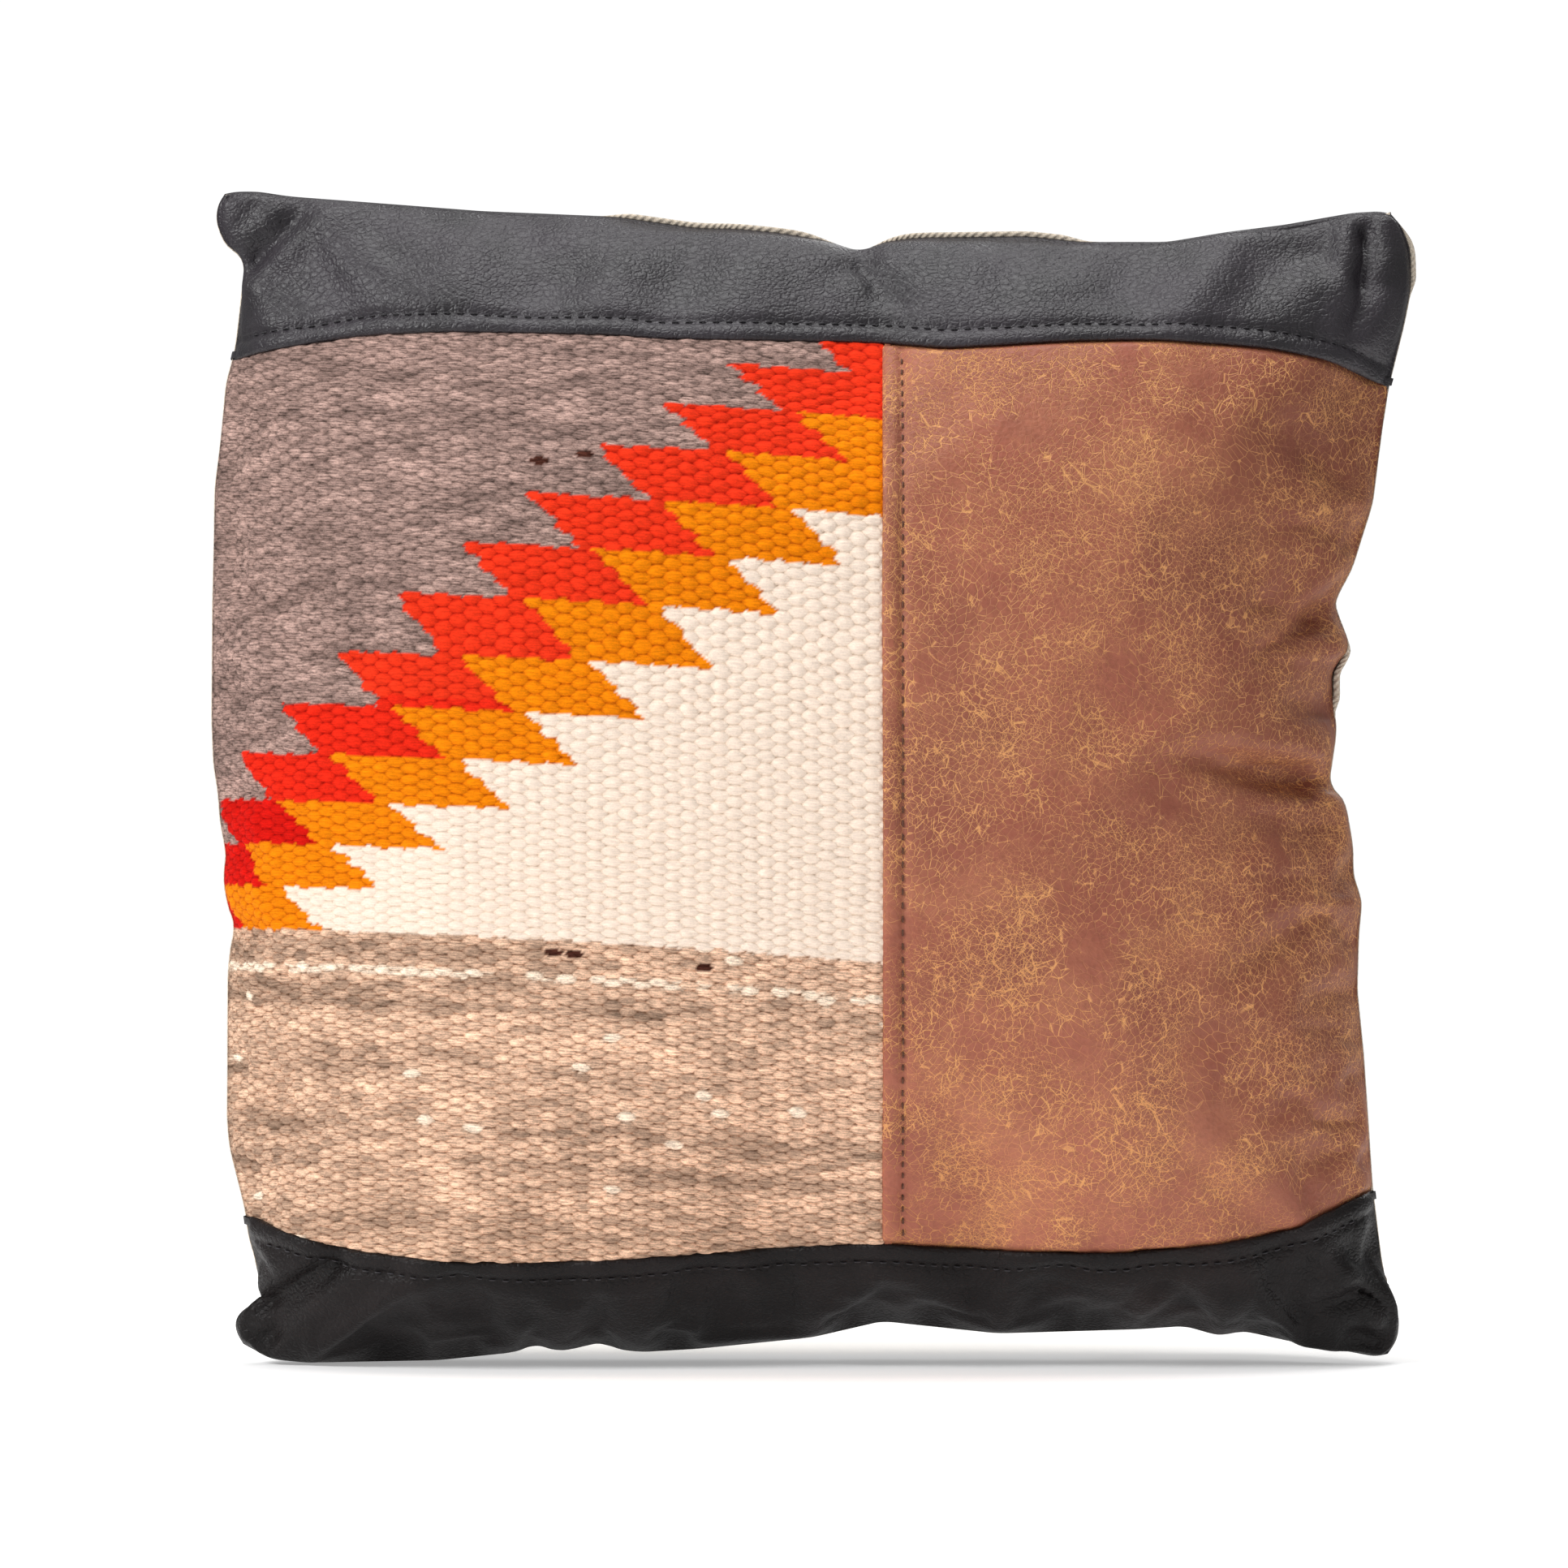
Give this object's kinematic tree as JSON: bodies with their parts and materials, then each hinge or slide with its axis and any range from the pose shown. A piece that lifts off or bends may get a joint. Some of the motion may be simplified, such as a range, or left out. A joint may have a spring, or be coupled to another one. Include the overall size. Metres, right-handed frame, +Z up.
{
  "type": "throw pillow",
  "caption": "Square stuffed throw pillow with a pieced wool and leather front, a cloth back and a zipper low on the back.",
  "frame": {"origin": "middle of the box's bottom, on the floor under the pillow", "axes": "-Y out of the pieced front, +X to the right as seen from the front, +Z up"},
  "size_m": [0.438, 0.1509, 0.433],
  "materials": {
    "striped_wool": "flat-woven wool in slanting red, orange, cream and grey steps",
    "brown_leather": "distressed brown leather with golden cracks",
    "black_leather": "soft pebbled black leather",
    "cream_cloth": "plain woven cream cloth",
    "casing_cloth": "thin white cloth",
    "white_fibre": "loose polyester fibre",
    "brown_thread": "waxed thread",
    "black_thread": "waxed thread",
    "zip_tape": "woven tape",
    "zip_coil": "nylon coil",
    "zip_metal": "dull metal"
  },
  "bodies": {
    "cover": {"front_wool_panel": "striped_wool", "front_brown_leather_panel": "brown_leather", "top_black_leather_band": "black_leather", "bottom_black_leather_band": "black_leather", "back_cloth_panel": "cream_cloth", "centre_seam_thread": "brown_thread", "top_band_thread": "black_thread", "bottom_band_thread": "black_thread", "insert_casing_front": "casing_cloth", "insert_casing_back": "casing_cloth", "fibre_fill": "white_fibre", "zip_tape_upper": "zip_tape", "zip_tape_lower": "zip_tape", "zip_teeth_upper": "zip_coil", "zip_teeth_lower": "zip_coil", "zip_top_stop_upper": "zip_metal", "zip_top_stop_lower": "zip_metal", "zip_bottom_stop": "zip_metal", "zip_stitch_upper": "black_thread", "zip_stitch_lower": "black_thread"},
    "slider": {"zip_slider": "zip_metal"},
    "pull_tab": {"zip_pull_tab": "zip_metal"}
  },
  "joints": [
    {"name": "zip_slide", "type": "slide", "parent": "cover", "child": "slider", "axis": [-1, 0, 0], "range_m": [0, 0.252]},
    {"name": "pull_tab_swing", "type": "hinge", "parent": "slider", "child": "pull_tab", "pos_m": [0.126, 0.0423, 0.02925], "axis": [0, 0.5, 0.866], "range_deg": [-85, 85]}
  ]
}
